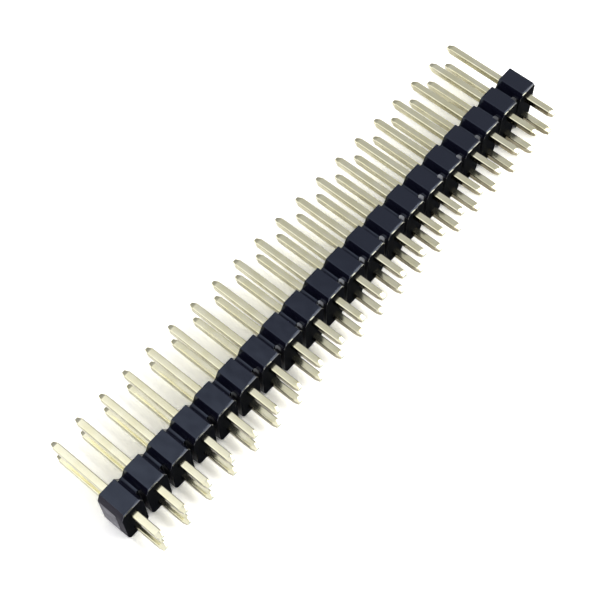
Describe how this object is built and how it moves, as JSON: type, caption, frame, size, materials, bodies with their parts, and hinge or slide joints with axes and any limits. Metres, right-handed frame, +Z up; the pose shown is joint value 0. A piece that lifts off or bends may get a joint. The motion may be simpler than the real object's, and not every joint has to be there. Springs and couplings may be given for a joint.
{
  "type": "pin_header",
  "caption": "Straight two-row breakaway pin header strip: gold-flashed square pins pressed through a notched, glossy black moulded housing.",
  "frame": {"origin": "Middle of the pin grid, on the board face of the housing", "axes": "X runs along the strip, Y along the pins towards the mating tips, Z up across the two rows from the long side that the strip lies on"},
  "size_m": [0.0504, 0.0113, 0.005],
  "materials": {
    "housing_plastic": "gloss",
    "pin_metal": "polished"
  },
  "bodies": {
    "root": {"housing": "housing_plastic", "pin_a01": "pin_metal", "pin_a02": "pin_metal", "pin_a03": "pin_metal", "pin_a04": "pin_metal", "pin_a05": "pin_metal", "pin_a06": "pin_metal", "pin_a07": "pin_metal", "pin_a08": "pin_metal", "pin_a09": "pin_metal", "pin_a10": "pin_metal", "pin_a11": "pin_metal", "pin_a12": "pin_metal", "pin_a13": "pin_metal", "pin_a14": "pin_metal", "pin_a15": "pin_metal", "pin_a16": "pin_metal", "pin_a17": "pin_metal", "pin_a18": "pin_metal", "pin_a19": "pin_metal", "pin_a20": "pin_metal", "pin_b01": "pin_metal", "pin_b02": "pin_metal", "pin_b03": "pin_metal", "pin_b04": "pin_metal", "pin_b05": "pin_metal", "pin_b06": "pin_metal", "pin_b07": "pin_metal", "pin_b08": "pin_metal", "pin_b09": "pin_metal", "pin_b10": "pin_metal", "pin_b11": "pin_metal", "pin_b12": "pin_metal", "pin_b13": "pin_metal", "pin_b14": "pin_metal", "pin_b15": "pin_metal", "pin_b16": "pin_metal", "pin_b17": "pin_metal", "pin_b18": "pin_metal", "pin_b19": "pin_metal", "pin_b20": "pin_metal"}
  },
  "joints": []
}
